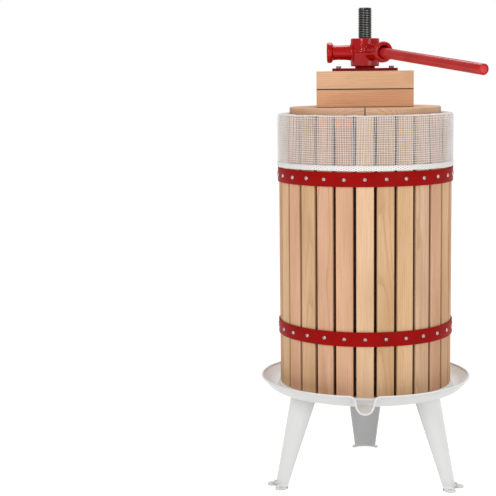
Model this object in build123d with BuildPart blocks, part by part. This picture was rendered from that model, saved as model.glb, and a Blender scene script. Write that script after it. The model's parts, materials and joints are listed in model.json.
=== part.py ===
"""Spindle fruit press: a slatted oak basket on a white steel drip tray with three legs, pressed by a
stack of oak boards under a cast screw nut that a loose tube handle turns.

Origin: on the floor, on the axis of the spindle. +Z is up and the spout points along -Y."""

from build123d import *
from math import asin, cos, radians, sin
import os

os.makedirs("parts", exist_ok=True)

# ---- driving dimensions, in millimetres ------------------------------------------------------------

# drip tray
tray_sheet = 1.5
platform_top = 177.5
platform_radius = 156.5
gutter_floor = 167.0
gutter_inner_radius = 159.0
gutter_outer_radius = 165.5
rim_radius = 186.0
rim_height = 187.5
rim_bead_radius = 2.0
rim_bead_offset = 0.5
rim_bead_drop = 0.8
platform_bend = 0.8
platform_foot_bend = 0.8
wall_foot_bend = 0.6
wall_top_bend = 0.9

# spout, from the wide mouth in the tray wall to the narrow lip
spout_mouth_y = 160.0
spout_mouth_width = 48.0
spout_lip_y = 207.5
spout_lip_width = 27.0
spout_lip_bottom = 162.5
spout_rim = 182.0
spout_wall = 2.0
spout_round = 14.5

# legs: a bent sheet channel that tapers and leans out towards the foot
leg_sheet = 2.5
leg_lid_inset = 1.0
leg_top = platform_top - tray_sheet
leg_top_chord = 79.0
leg_top_rise = 27.0
leg_top_reach = 116.0
leg_foot_chord = 40.0
leg_foot_rise = 10.2
leg_foot_reach = 168.7
ear_spacing = 31.4
ear_radius = 9.6
ear_reach = 181.0
ear_hole_radius = 4.0
leg_stud_radius = 3.0
leg_stud_spacing = 34.0
leg_stud_reach = 126.0
leg_stud_length = 12.0
leg_nut_flats = 10.0
leg_nut_height = 5.0

# spindle and its seat in the tray
spindle_radius = 12.0
spindle_top = 843.7
spindle_bottom = 144.5
spindle_chamfer = 1.5
base_plate_radius = 45.0
base_plate_thickness = 6.0
spindle_nut_flats = 36.0
spindle_nut_height = 18.0
seal_radius = 25.0
seal_thickness = 3.0

# basket
stave_count = 27
stave_width = 29.8
stave_thickness = 15.0
stave_face_radius = 153.0
stave_length = 480.0
stave_edge = 2.0
hoop_inner_radius = 153.9
hoop_thickness = 2.0
hoop_height = 25.0
hoop_centres = {"hoop_upper": 552.5, "hoop_lower": 279.5}
screw_head_radius = 3.5
screw_head_height = 2.0
screw_shank_radius = 1.7
screw_length = 12.0

# press cloth: a bag in the basket, folded over its rim and hanging outside
cloth_thickness = 1.0
cloth_lining_radius = 136.5
cloth_skirt_radius = 154.5
cloth_skirt_bottom = 566.0
cloth_neck_radius = 28.0
cloth_gap = 0.4

# boards that are pressed down, from the bottom up
plate_radius = 134.0
plate_thickness = 23.6
plate_bottom = 647.4
plate_hole_radius = 17.0
spindle_hole_radius = 14.5
block_length = 168.0
block_height = 31.2
block_depth = 44.0
block_gap = 29.0
top_block_depth = 117.0
board_edge = 1.5

# steel bar on the top block
bar_length = 115.0
bar_width = 39.0
bar_thickness = 5.0
bar_bore_play = 0.2
bar_corner = 1.0
bar_bolt_spacing = 93.0
bolt_radius = 2.5
bolt_hole_radius = 2.75
bolt_head_flats = 8.0
bolt_head_height = 4.0
bolt_nut_height = 4.0
nut_pocket_radius = 9.0
nut_pocket_depth = 9.0
bolt_overhang = 6.0

# cast nut that runs on the spindle
hub_radius = 25.75
hub_height = 49.0
hub_edge = 2.0
neck_radius = 17.5
neck_height = 1.4
journal_radius = 15.0
nut_bore_radius = 12.05
socket_outer_radius = 12.8
socket_bore_radius = 11.1
socket_mouth = 67.3
socket_depth = 38.0
socket_height = 24.4
flange_radius = 18.1
flange_width = 9.5
thrust_washer_thickness = 1.6
ring_pocket_radius = 22.0
ring_pocket_depth = 6.0
ring_thickness = 2.0
ring_gap = 5.0
journal_overhang = 2.0
ring_groove = 1.0
ring_radius = 19.0
ring_play = 0.3

# handle: a tube that lies loosely in one socket and droops
handle_radius = 9.0
handle_wall = 2.0
handle_start = 31.0
handle_reach = 364.5
handle_droop = 5.7
handle_heading = -60.0
cap_length = 14.0

# ---- heights and radii that follow from them ---------------------------------------------------------

plate_top = plate_bottom + plate_thickness
top_block_bottom = plate_top + block_height
bar_bottom = top_block_bottom + block_height
bar_top = bar_bottom + bar_thickness
neck_bottom = bar_top + thrust_washer_thickness
hub_bottom = neck_bottom + neck_height
socket_axis = hub_bottom + socket_height
ring_top = bar_bottom - ring_play
journal_bottom = ring_top - ring_thickness - journal_overhang
hoop_outer_radius = hoop_inner_radius + hoop_thickness
stave_top = platform_top + stave_length
stave_pitch = 360 / stave_count


def finish(piece, name):
    """Label a finished piece and write it under its node's name."""
    piece.part.label = name
    export_step(piece.part, f"parts/{name}.step")


# ---- drip tray -----------------------------------------------------------------------------------------


def spout_section(distance, width, bottom, top, wall):
    """A U at a distance along the spout, inside its wall, with a bottom as round as there is room for."""
    half = width / 2 - wall
    spring = bottom + min(width / 2, spout_round)
    with BuildSketch(Plane.XZ.offset(distance)) as section:
        with BuildLine():
            ThreePointArc((-half, spring), (0, bottom + wall), (half, spring))
            Polyline((half, spring), (half, top), (-half, top), (-half, spring))
        make_face()
    return section.sketch


def spout_sections(wall, top):
    """The spout's outline with wall 0, or its hollow with the wall's thickness, from mouth to lip."""
    mouth_bottom = gutter_floor - spout_wall
    mouth = spout_section(spout_mouth_y + wall, spout_mouth_width, mouth_bottom, top, wall)
    lip = spout_section(spout_lip_y, spout_lip_width, spout_lip_bottom, top, wall)
    return [mouth, lip]


# The pressed sheet steps down from the platform to the gutter and flares up to a beaded rim. The spout
# is trimmed where it would stand inside the bowl, then hollowed out together with the tray wall.
with BuildPart() as drip_tray:
    loft(spout_sections(0, spout_rim))
    with BuildSketch(Plane.XZ) as bowl:
        with BuildLine():
            Polyline(
                (0, gutter_floor),
                (gutter_outer_radius, gutter_floor),
                (rim_radius, rim_height),
                (0, rim_height),
                close=True,
            )
        make_face()
    revolve(axis=Axis.Z, mode=Mode.SUBTRACT)
    with BuildSketch(Plane.XZ) as sheet:
        with BuildLine():
            Polyline(
                (spindle_radius, platform_top - tray_sheet),
                (platform_radius - platform_bend, platform_top - tray_sheet),
                (gutter_inner_radius - platform_foot_bend, gutter_floor - tray_sheet),
                (gutter_outer_radius + wall_foot_bend, gutter_floor - tray_sheet),
                (rim_radius + tray_sheet, rim_height - tray_sheet + wall_top_bend),
                (rim_radius, rim_height),
                (gutter_outer_radius, gutter_floor),
                (gutter_inner_radius, gutter_floor),
                (platform_radius, platform_top),
                (spindle_radius, platform_top),
                close=True,
            )
        make_face()
        with Locations((rim_radius + rim_bead_offset, rim_height - rim_bead_drop)):
            Circle(rim_bead_radius)
    revolve(axis=Axis.Z)
    loft(spout_sections(spout_wall, rim_height + spout_wall), mode=Mode.SUBTRACT)
finish(drip_tray, "drip_tray")

# ---- legs ------------------------------------------------------------------------------------------------


def leg_arc(chord, rise):
    """Radius of the arc that stands rise above its chord."""
    return (chord**2 / 4 + rise**2) / (2 * rise)


def leg_section(height, chord, rise, reach):
    """The bent sheet cut level at a height, bulging outwards from a chord at reach from the spindle."""
    outer = leg_arc(chord, rise)
    inner = outer - leg_sheet
    centre = reach + rise - outer
    side = chord / 2 / outer
    depth = cos(asin(side))
    outer_ends = [(sign * outer * side, centre + outer * depth) for sign in (-1, 1)]
    inner_ends = [(sign * inner * side, centre + inner * depth) for sign in (-1, 1)]
    with BuildSketch(Plane.XY.offset(height)) as section:
        with BuildLine():
            ThreePointArc(outer_ends[0], (0, centre + outer), outer_ends[1])
            Line(outer_ends[1], inner_ends[1])
            ThreePointArc(inner_ends[1], (0, centre + inner), inner_ends[0])
            Line(inner_ends[0], outer_ends[0])
        make_face()
    return section.sketch


# The rear leg: tapered channel, a lid that closes its top under the tray, and two ears on the floor.
foot_section = leg_section(0, leg_foot_chord, leg_foot_rise, leg_foot_reach)
top_section = leg_section(leg_top, leg_top_chord, leg_top_rise, leg_top_reach)
with BuildPart() as leg:
    loft([foot_section, top_section])
    with BuildSketch(Plane.XY.offset(leg_top - leg_sheet)):
        with BuildLine():
            half_chord = leg_top_chord / 2 - leg_lid_inset
            ThreePointArc(
                (-half_chord, leg_top_reach), (0, leg_top_reach + leg_top_rise - leg_lid_inset), (half_chord, leg_top_reach)
            )
            Line((half_chord, leg_top_reach), (-half_chord, leg_top_reach))
        make_face()
        with Locations((0, leg_stud_reach)):
            with GridLocations(leg_stud_spacing, 0, 2, 1):
                Circle(leg_stud_radius, mode=Mode.SUBTRACT)
    extrude(amount=leg_sheet)
    with BuildSketch(Plane.XY):
        with Locations((0, ear_reach)):
            with GridLocations(ear_spacing, 0, 2, 1):
                Circle(ear_radius)
        add(foot_section)
        with Locations((0, ear_reach)):
            with GridLocations(ear_spacing, 0, 2, 1):
                Circle(ear_hole_radius, mode=Mode.SUBTRACT)
    extrude(amount=leg_sheet)

for name, turn in (("leg_rear", 0), ("leg_front_left", 120), ("leg_front_right", 240)):
    with BuildPart() as placed_leg:
        add(leg.part, rotation=(0, 0, turn))
    finish(placed_leg, name)

# Two studs are welded under the platform for each leg, and a nut on each holds the leg's lid.
stud_places = [(-leg_stud_spacing / 2, leg_stud_reach), (leg_stud_spacing / 2, leg_stud_reach)]
with BuildPart() as leg_studs:
    with BuildSketch(Plane.XY.offset(leg_top)):
        with PolarLocations(0, 3):
            with Locations(*stud_places):
                Circle(leg_stud_radius)
    extrude(amount=-leg_stud_length)
finish(leg_studs, "leg_studs")

with BuildPart() as leg_nuts:
    with BuildSketch(Plane.XY.offset(leg_top - leg_sheet)):
        with PolarLocations(0, 3):
            with Locations(*stud_places):
                RegularPolygon(leg_nut_flats / 2, 6, major_radius=False)
                Circle(leg_stud_radius, mode=Mode.SUBTRACT)
    extrude(amount=-leg_nut_height)
finish(leg_nuts, "leg_nuts")

# ---- spindle and its seat ----------------------------------------------------------------------------------

# The screw thread is left out of this solid: it is a cylinder of the thread's outer diameter.
with BuildPart() as spindle:
    with BuildSketch(Plane.XY.offset(spindle_bottom)):
        Circle(spindle_radius)
    extrude(amount=spindle_top - spindle_bottom)
    chamfer(spindle.edges().filter_by(GeomType.CIRCLE), spindle_chamfer)
finish(spindle, "spindle")

with BuildPart() as spindle_base_plate:
    with BuildSketch(Plane.XY.offset(platform_top - tray_sheet)):
        Circle(base_plate_radius)
        Circle(spindle_radius, mode=Mode.SUBTRACT)
    extrude(amount=-base_plate_thickness)
finish(spindle_base_plate, "spindle_base_plate")

with BuildPart() as spindle_seal:
    with BuildSketch(Plane.XY.offset(platform_top)):
        Circle(seal_radius)
        Circle(spindle_radius, mode=Mode.SUBTRACT)
    extrude(amount=seal_thickness)
finish(spindle_seal, "spindle_seal")

bottom_nut_seat = platform_top - tray_sheet - base_plate_thickness - spindle_nut_height
top_nut_seat = platform_top + seal_thickness
for name, seat in (("spindle_bottom_nut", bottom_nut_seat), ("spindle_top_nut", top_nut_seat)):
    with BuildPart() as spindle_nut:
        with BuildSketch(Plane.XY.offset(seat)):
            RegularPolygon(spindle_nut_flats / 2, 6, major_radius=False)
            Circle(spindle_radius, mode=Mode.SUBTRACT)
        extrude(amount=spindle_nut_height)
    finish(spindle_nut, name)

# ---- basket --------------------------------------------------------------------------------------------------

# One oak stave, at the front: rounded long edges, and two pilot holes for the hoop screws.
with BuildPart() as stave:
    with BuildSketch(Plane.XY.offset(platform_top)):
        with Locations((0, stave_thickness / 2 - stave_face_radius)):
            Rectangle(stave_width, stave_thickness)
    extrude(amount=stave_length)
    fillet(stave.edges().filter_by(Axis.Z).group_by(Axis.Y)[0], stave_edge)
    chamfer(stave.edges().filter_by(Axis.Z).group_by(Axis.Y)[-1], stave_edge / 2)
    with BuildSketch(Plane.XZ.offset(stave_face_radius)):
        for height in hoop_centres.values():
            with Locations((0, height)):
                Circle(screw_shank_radius)
    extrude(amount=-(screw_length - hoop_outer_radius + stave_face_radius), mode=Mode.SUBTRACT)

for number in range(stave_count):
    with BuildPart() as placed_stave:
        add(stave.part, rotation=(0, 0, number * stave_pitch))
    finish(placed_stave, f"stave_{number + 1:02d}")

# Two steel hoops, welded into rings and drilled for one screw in each stave.
for name, height in hoop_centres.items():
    with BuildPart() as hoop:
        with BuildSketch(Plane.XY.offset(height - hoop_height / 2)):
            Circle(hoop_outer_radius)
            Circle(hoop_inner_radius, mode=Mode.SUBTRACT)
        extrude(amount=hoop_height)
        for number in range(stave_count):
            with BuildSketch(Plane.XZ.rotated((0, 0, number * stave_pitch)).offset(hoop_inner_radius - hoop_thickness)):
                with Locations((0, height)):
                    Circle(screw_shank_radius)
            extrude(amount=3 * hoop_thickness, mode=Mode.SUBTRACT)
    finish(hoop, name)

# A round-headed screw through the hoop into each stave.
with BuildPart() as screw:
    with BuildSketch(Plane.XZ.offset(hoop_outer_radius)):
        Circle(screw_shank_radius)
    extrude(amount=-screw_length)
    with BuildSketch(Plane.XZ.offset(hoop_outer_radius)):
        Circle(screw_head_radius)
    extrude(amount=screw_head_height)
    fillet(screw.edges().group_by(Axis.Y)[0], screw_head_height * 0.9)

for name, height in hoop_centres.items():
    with BuildPart() as screws:
        with Locations((0, 0, height)):
            with PolarLocations(0, stave_count):
                add(screw.part)
    finish(screws, f"{name}_screws")

# The bag, as one thin skin: bottom, lining, fold over the stave tops and skirt outside.
lining_outer = cloth_lining_radius + cloth_thickness
skirt_outer = cloth_skirt_radius + cloth_thickness
bag_bottom = platform_top + cloth_gap
fold_bottom = stave_top + cloth_gap
with BuildPart() as press_cloth:
    with BuildSketch(Plane.XZ):
        with BuildLine():
            Polyline(
                (cloth_neck_radius, bag_bottom),
                (lining_outer, bag_bottom),
                (lining_outer, fold_bottom),
                (cloth_skirt_radius, fold_bottom),
                (cloth_skirt_radius, cloth_skirt_bottom),
                (skirt_outer, cloth_skirt_bottom),
                (skirt_outer, fold_bottom + cloth_thickness),
                (cloth_lining_radius, fold_bottom + cloth_thickness),
                (cloth_lining_radius, bag_bottom + cloth_thickness),
                (cloth_neck_radius, bag_bottom + cloth_thickness),
                close=True,
            )
        make_face()
    revolve(axis=Axis.Z)
finish(press_cloth, "press_cloth")

# ---- pressed boards --------------------------------------------------------------------------------------------

# The pressing board is a disc in two halves, which meet on the plane x = 0 round the spindle.
for name, side in (("press_plate_left", -1), ("press_plate_right", 1)):
    with BuildPart() as press_plate:
        with BuildSketch(Plane.XY.offset(plate_bottom)):
            Circle(plate_radius)
            Circle(plate_hole_radius, mode=Mode.SUBTRACT)
            with Locations((-side * plate_radius, 0)):
                Rectangle(2 * plate_radius, 2 * plate_radius, mode=Mode.SUBTRACT)
        extrude(amount=plate_thickness)
        rim_edges = press_plate.edges().filter_by(GeomType.CIRCLE)
        chamfer(rim_edges.filter_by(lambda edge: edge.radius > plate_hole_radius + 1), board_edge)
    finish(press_plate, name)

# Two blocks lie across the halves, one each side of the spindle.
for name, side in (("block_front", -1), ("block_rear", 1)):
    with BuildPart() as block:
        with BuildSketch(Plane.XY.offset(plate_top)):
            with Locations((0, side * (block_gap + block_depth) / 2)):
                Rectangle(block_length, block_depth)
        extrude(amount=block_height)
        chamfer(block.edges().filter_by(Axis.Z), board_edge)
        chamfer(block.edges().filter_by(Axis.X), board_edge / 2)
    finish(block, name)

# The top block has a hole for the spindle, a pocket for the nut's ring and two pockets for bolt nuts.
with BuildPart() as block_top:
    with BuildSketch(Plane.XY.offset(top_block_bottom)):
        Rectangle(block_length, top_block_depth)
    extrude(amount=block_height)
    chamfer(block_top.edges().filter_by(Axis.Z), board_edge)
    chamfer(block_top.edges().filter_by(Axis.X), board_edge / 2)
    with BuildSketch(Plane.XY.offset(top_block_bottom)):
        Circle(spindle_hole_radius)
        with GridLocations(bar_bolt_spacing, 0, 2, 1):
            Circle(bolt_hole_radius)
    extrude(amount=block_height, mode=Mode.SUBTRACT)
    with BuildSketch(Plane.XY.offset(bar_bottom)):
        Circle(ring_pocket_radius)
    extrude(amount=-ring_pocket_depth, mode=Mode.SUBTRACT)
    with BuildSketch(Plane.XY.offset(top_block_bottom)):
        with GridLocations(bar_bolt_spacing, 0, 2, 1):
            Circle(nut_pocket_radius)
    extrude(amount=nut_pocket_depth, mode=Mode.SUBTRACT)
finish(block_top, "block_top")

# ---- steel bar and its bolts ---------------------------------------------------------------------------------

with BuildPart() as head_plate:
    with BuildSketch(Plane.XY.offset(bar_bottom)):
        Rectangle(bar_length, bar_width)
        Circle(journal_radius + bar_bore_play, mode=Mode.SUBTRACT)
        with GridLocations(bar_bolt_spacing, 0, 2, 1):
            Circle(bolt_hole_radius, mode=Mode.SUBTRACT)
    extrude(amount=bar_thickness)
    chamfer(head_plate.edges().filter_by(Axis.Z).group_by(SortBy.LENGTH)[0], bar_corner)
finish(head_plate, "head_plate")

nut_seat = top_block_bottom + nut_pocket_depth
bolt_end = nut_seat - bolt_overhang
with BuildPart() as head_plate_bolts:
    with BuildSketch(Plane.XY.offset(bar_top)):
        with GridLocations(bar_bolt_spacing, 0, 2, 1):
            RegularPolygon(bolt_head_flats / 2, 6, major_radius=False)
    extrude(amount=bolt_head_height)
    with BuildSketch(Plane.XY.offset(bar_top)):
        with GridLocations(bar_bolt_spacing, 0, 2, 1):
            Circle(bolt_radius)
    extrude(amount=bolt_end - bar_top)
finish(head_plate_bolts, "head_plate_bolts")

with BuildPart() as head_plate_nuts:
    with BuildSketch(Plane.XY.offset(nut_seat)):
        with GridLocations(bar_bolt_spacing, 0, 2, 1):
            RegularPolygon(bolt_head_flats / 2, 6, major_radius=False)
            Circle(bolt_radius, mode=Mode.SUBTRACT)
    extrude(amount=-bolt_nut_height)
finish(head_plate_nuts, "head_plate_nuts")

with BuildPart() as thrust_washer:
    with BuildSketch(Plane.XY.offset(bar_top)):
        Circle(neck_radius)
        Circle(journal_radius + bar_bore_play, mode=Mode.SUBTRACT)
    extrude(amount=thrust_washer_thickness)
finish(thrust_washer, "thrust_washer")

# ---- cast nut ----------------------------------------------------------------------------------------------------

# Hub, neck and a journal that passes through the bar, with three flanged handle sockets round the hub.
with BuildPart() as nut_head:
    with BuildSketch(Plane.XY.offset(hub_bottom)):
        Circle(hub_radius)
    extrude(amount=hub_height)
    fillet(nut_head.edges().group_by(Axis.Z)[-1], hub_edge)
    with BuildSketch(Plane.XY.offset(neck_bottom)):
        Circle(neck_radius)
    extrude(amount=neck_height)
    with BuildSketch(Plane.XY.offset(neck_bottom)):
        Circle(journal_radius)
    extrude(amount=journal_bottom - neck_bottom)
    for turn in (180, handle_heading, -handle_heading):
        heading = Plane.YZ.rotated((0, 0, turn))
        with BuildSketch(heading):
            with Locations((0, socket_axis)):
                Circle(socket_outer_radius)
        extrude(amount=socket_mouth)
        with BuildSketch(heading.offset(socket_mouth - flange_width)):
            with Locations((0, socket_axis)):
                Circle(flange_radius)
        extrude(amount=flange_width)
    for turn in (180, handle_heading, -handle_heading):
        heading = Plane.YZ.rotated((0, 0, turn))
        with BuildSketch(heading.offset(socket_mouth - socket_depth)):
            with Locations((0, socket_axis)):
                Circle(socket_bore_radius)
        extrude(amount=socket_depth, mode=Mode.SUBTRACT)
    with BuildSketch(Plane.XY.offset(ring_top - ring_thickness)):
        Circle(journal_radius)
        Circle(journal_radius - ring_groove, mode=Mode.SUBTRACT)
    extrude(amount=ring_thickness, mode=Mode.SUBTRACT)
    with BuildSketch(Plane.XY.offset(journal_bottom)):
        Circle(nut_bore_radius)
    extrude(amount=hub_bottom + hub_height - journal_bottom, mode=Mode.SUBTRACT)
finish(nut_head, "nut_head")

# A split ring in the journal's groove keeps the nut in the bar.
with BuildPart() as retaining_ring:
    with BuildSketch(Plane.XY.offset(ring_top - ring_thickness)):
        Circle(ring_radius)
        Circle(journal_radius - ring_groove, mode=Mode.SUBTRACT)
        with Locations((0, ring_radius)):
            Rectangle(ring_gap, 2 * ring_radius - journal_radius, mode=Mode.SUBTRACT)
    extrude(amount=ring_thickness)
finish(retaining_ring, "retaining_ring")

# ---- handle --------------------------------------------------------------------------------------------------------

# The tube rests on the lower lip of the socket's mouth, so its axis crosses the socket's axis there.
droop = radians(handle_droop)
heading_x, heading_y = cos(radians(handle_heading)), sin(radians(handle_heading))
handle_pivot = socket_mouth - socket_depth / 2
handle_axis = Vector(heading_x * cos(droop), heading_y * cos(droop), -sin(droop))
rise_at_start = (handle_pivot - handle_start) * sin(droop) / cos(droop)
handle_inner_end = Vector(handle_start * heading_x, handle_start * heading_y, socket_axis + rise_at_start)
handle_length = (handle_reach - handle_start) / cos(droop)
handle_plane = Plane(origin=handle_inner_end, x_dir=(-heading_y, heading_x, 0), z_dir=handle_axis)

with BuildPart() as handle_tube:
    with BuildSketch(handle_plane):
        Circle(handle_radius)
        Circle(handle_radius - handle_wall, mode=Mode.SUBTRACT)
    extrude(amount=handle_length)
finish(handle_tube, "handle_tube")

with BuildPart() as handle_end_cap:
    with BuildSketch(handle_plane.offset(handle_length - cap_length)):
        Circle(handle_radius - handle_wall)
    extrude(amount=cap_length)
finish(handle_end_cap, "handle_end_cap")
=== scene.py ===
import json
import math
import random

import bmesh
import bpy
from mathutils import Matrix, Vector


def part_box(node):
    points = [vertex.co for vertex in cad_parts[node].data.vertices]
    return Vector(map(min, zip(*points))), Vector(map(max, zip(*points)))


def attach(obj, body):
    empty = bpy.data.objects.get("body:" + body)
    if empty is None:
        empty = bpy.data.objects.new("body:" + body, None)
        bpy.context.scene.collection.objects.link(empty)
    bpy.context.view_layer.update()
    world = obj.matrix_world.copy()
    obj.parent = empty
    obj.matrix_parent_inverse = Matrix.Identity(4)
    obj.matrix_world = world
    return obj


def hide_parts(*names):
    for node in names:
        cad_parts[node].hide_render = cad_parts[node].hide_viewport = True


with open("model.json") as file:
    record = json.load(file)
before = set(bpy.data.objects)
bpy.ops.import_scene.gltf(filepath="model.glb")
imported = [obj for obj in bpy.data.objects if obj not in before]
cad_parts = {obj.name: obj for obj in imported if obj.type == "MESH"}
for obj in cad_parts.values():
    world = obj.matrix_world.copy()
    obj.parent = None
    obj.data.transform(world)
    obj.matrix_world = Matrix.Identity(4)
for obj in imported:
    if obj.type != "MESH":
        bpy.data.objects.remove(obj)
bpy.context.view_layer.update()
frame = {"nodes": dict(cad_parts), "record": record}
MM = 0.001

# ---- view, floor and studio light ----------------------------------------------------------------
# The press stands on a plain white floor in a white room. A tall, narrow softbox stands to the left of
# the lens and a broader, weaker one to its right, and a third hangs above and behind the press.

eye = Vector((0.0, -2.4838, 0.7372))
pitch_down = math.radians(7.315)
turn_left = math.radians(4.866)
roll = math.radians(-0.644)
ahead = Vector((
    -math.sin(turn_left) * math.cos(pitch_down),
    math.cos(turn_left) * math.cos(pitch_down),
    -math.sin(pitch_down),
))
level_right = Vector((math.cos(turn_left), math.sin(turn_left), 0.0))
level_up = level_right.cross(ahead)
lens_right = level_right * math.cos(roll) + level_up * math.sin(roll)
lens_up = level_up * math.cos(roll) - level_right * math.sin(roll)
camera = bpy.data.objects.new("camera", bpy.data.cameras.new("camera"))
camera.data.sensor_width = 36.0
camera.data.lens = 100.6
camera.data.clip_end = 200.0
camera.matrix_world = Matrix.Translation(eye) @ Matrix((lens_right, lens_up, -ahead)).transposed().to_4x4()
bpy.context.collection.objects.link(camera)
bpy.context.scene.camera = camera
bpy.context.scene.view_settings.view_transform = "Standard"

room = bpy.data.worlds.new("white_room")
room.use_nodes = True
room_nodes = room.node_tree.nodes
room_light = room_nodes["Background"]
room_light.inputs["Color"].default_value = (0.97, 0.985, 1.0, 1.0)
room_light.inputs["Strength"].default_value = 0.42
room_seen = room_nodes.new("ShaderNodeBackground")
room_seen.inputs["Color"].default_value = (1.0, 1.0, 1.0, 1.0)
room_seen.inputs["Strength"].default_value = 1.0
room_ray = room_nodes.new("ShaderNodeLightPath")
room_mix = room_nodes.new("ShaderNodeMixShader")
room.node_tree.links.new(room_ray.outputs["Is Camera Ray"], room_mix.inputs[0])
room.node_tree.links.new(room_light.outputs[0], room_mix.inputs[1])
room.node_tree.links.new(room_seen.outputs[0], room_mix.inputs[2])
room.node_tree.links.new(room_mix.outputs[0], room_nodes["World Output"].inputs["Surface"])
bpy.context.scene.world = room


def softbox(name, place, aim, width, height, power):
    """A rectangular soft light at a place, turned towards a point on the press."""
    lamp = bpy.data.lights.new(name, "AREA")
    lamp.shape = "RECTANGLE"
    lamp.size = width
    lamp.size_y = height
    lamp.energy = power
    holder = bpy.data.objects.new(name, lamp)
    holder.location = place
    holder.rotation_mode = "QUATERNION"
    holder.rotation_quaternion = (Vector(aim) - Vector(place)).to_track_quat("-Z", "Y")
    bpy.context.collection.objects.link(holder)


softbox("key_softbox", (-1.1, -2.1, 1.75), (0.0, 0.0, 0.45), width=0.4, height=1.7, power=22.5)
softbox("fill_softbox", (1.5, -2.0, 1.0), (0.0, 0.0, 0.4), width=1.1, height=1.5, power=14.0)
softbox("top_softbox", (0.2, 0.9, 2.3), (0.0, 0.0, 0.5), width=1.6, height=1.2, power=30.0)

# ---- drip tray -----------------------------------------------------------------------------------
# Pressed steel sheet, powder-coated white: a raised round platform, a juice gutter round it and a flared
# wall with a rolled rim, which is drawn out at the front into a U-shaped pouring lip.


class Wire:
    """A node's output, which can be used in sums."""

    def __init__(self, finish, socket):
        self.finish = finish
        self.socket = socket

    def sum(self, operation, first, second=None):
        values = {0: first} if second is None else {0: first, 1: second}
        return self.finish.node("ShaderNodeMath", {"operation": operation}, values)

    def __add__(self, other):
        return self.sum("ADD", self, other)

    def __sub__(self, other):
        return self.sum("SUBTRACT", self, other)

    def __rsub__(self, other):
        return self.sum("SUBTRACT", other, self)

    def __mul__(self, other):
        return self.sum("MULTIPLY", self, other)

    def __truediv__(self, other):
        return self.sum("DIVIDE", self, other)

    __radd__ = __add__
    __rmul__ = __mul__

    def most(self, other):
        return self.sum("MAXIMUM", self, other)

    def fraction(self):
        return self.sum("FRACT", self)

    def size(self):
        return self.sum("ABSOLUTE", self)

    def sine(self):
        return self.sum("SINE", self)

    def other(self, name):
        """Another output of the same node."""
        return Wire(self.finish, self.socket.node.outputs[name])


class Finish:
    """A material while it is being mixed. Its place is the point on the object, in metres."""

    def __init__(self, name):
        self.material = bpy.data.materials.new(name)
        self.material.use_nodes = True
        self.tree = self.material.node_tree
        self.tree.nodes.clear()
        self.shader = self.tree.nodes.new("ShaderNodeBsdfPrincipled")
        surface = self.tree.nodes.new("ShaderNodeOutputMaterial")
        self.tree.links.new(self.shader.outputs["BSDF"], surface.inputs["Surface"])
        self.place = self.node("ShaderNodeTexCoord", output="Object")

    def plug(self, node, sockets):
        """Sets each socket to a value, or links it to a wire."""
        for key, value in sockets.items():
            if isinstance(value, Wire):
                self.tree.links.new(value.socket, node.inputs[key])
            else:
                node.inputs[key].default_value = value

    def node(self, kind, settings=None, sockets=None, output=0):
        """Adds a node, its settings first and then its sockets, and gives back one output."""
        made = self.tree.nodes.new(kind)
        for key, value in (settings or {}).items():
            setattr(made, key, value)
        self.plug(made, sockets or {})
        return Wire(self, made.outputs[output])

    def surface(self, **sockets):
        """Sets the shader's own sockets, named with underscores for spaces."""
        self.plug(self.shader, {key.replace("_", " "): value for key, value in sockets.items()})
        return self.material

    def stretch(self, place, x, y, z):
        return self.node("ShaderNodeVectorMath", {"operation": "MULTIPLY"}, {0: place, 1: (x, y, z)})

    def moved(self, place, move, turn):
        """The place turned, then moved."""
        sockets = {"Vector": place, "Location": move, "Rotation": turn}
        return self.node("ShaderNodeMapping", {"vector_type": "POINT"}, sockets)

    def parts(self, vector):
        """A vector's X, with its Y and Z as the other outputs."""
        return self.node("ShaderNodeSeparateXYZ", {}, {"Vector": vector})

    def off_axis(self, place):
        """How far the place is from its Z axis."""
        flat = self.stretch(place, 1.0, 1.0, 0.0)
        return self.node("ShaderNodeVectorMath", {"operation": "LENGTH"}, {0: flat}, output="Value")

    def heading(self, spot):
        """The angle round the Z axis of a vector's parts, in radians."""
        return spot.sum("ARCTAN2", spot.other("Y"), spot)

    def noise(self, scale, detail=2.0, place=None, seed=0.0):
        """Cloudy noise about a half, with features of 1 / scale metres."""
        sockets = {"Vector": place or self.place, "Scale": scale, "Detail": detail, "W": seed}
        return self.node("ShaderNodeTexNoise", {"noise_dimensions": "4D"}, sockets)

    def ease(self, value, low, high):
        """0 below low, 1 above high and smooth between them."""
        sockets = {"Value": value, "From Min": low, "From Max": high}
        return self.node("ShaderNodeMapRange", {"interpolation_type": "SMOOTHSTEP"}, sockets)

    def mix(self, first, second, share):
        """A colour that goes from first to second as share goes from 0 to 1."""
        sockets = {0: share, 6: first, 7: second}
        return self.node("ShaderNodeMix", {"data_type": "RGBA"}, sockets, output=2)

    def bump(self, height, distance, strength=1.0):
        sockets = {"Height": height, "Distance": distance, "Strength": strength}
        return self.node("ShaderNodeBump", {}, sockets)


def enamel(name, colour, shade, seed, thin, thick):
    """Semi-gloss white powder coat: a faint orange peel, slow drifts of tone and a few dust nibs. Faces
    turned up are painted lighter and faces turned down darker, as painted light and shade between thin and
    thick."""
    finish = Finish(name)
    drift = finish.noise(9.0, 3.0, seed=seed)
    peel = finish.noise(520.0, 2.0, seed=seed + 1.0)
    dust = finish.ease(finish.noise(240.0, 1.0, seed=seed + 2.0), 0.74, 0.80)
    facing = finish.parts(finish.node("ShaderNodeNewGeometry", output="Normal"))
    painted_top_light_white = (0.86, 0.855, 0.845, 1.0)
    dust_grey = (0.62, 0.61, 0.58, 1.0)
    tone = finish.mix(colour, shade, finish.ease(drift, 0.35, 0.75))
    # Painted light and shade: faces turned up go towards the white, faces turned down keep the darker tone.
    tone = finish.mix(tone, painted_top_light_white, finish.ease(facing.other("Z"), thin, thick))
    height = peel * 0.5 + dust * 0.8
    return finish.surface(
        Base_Color=finish.mix(tone, dust_grey, dust * 0.35),
        Roughness=0.34 + drift * 0.10,
        Coat_Weight=0.12,
        Specular_IOR_Level=0.3,
        Normal=finish.bump(height, 0.00012, 0.5),
    )


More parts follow.
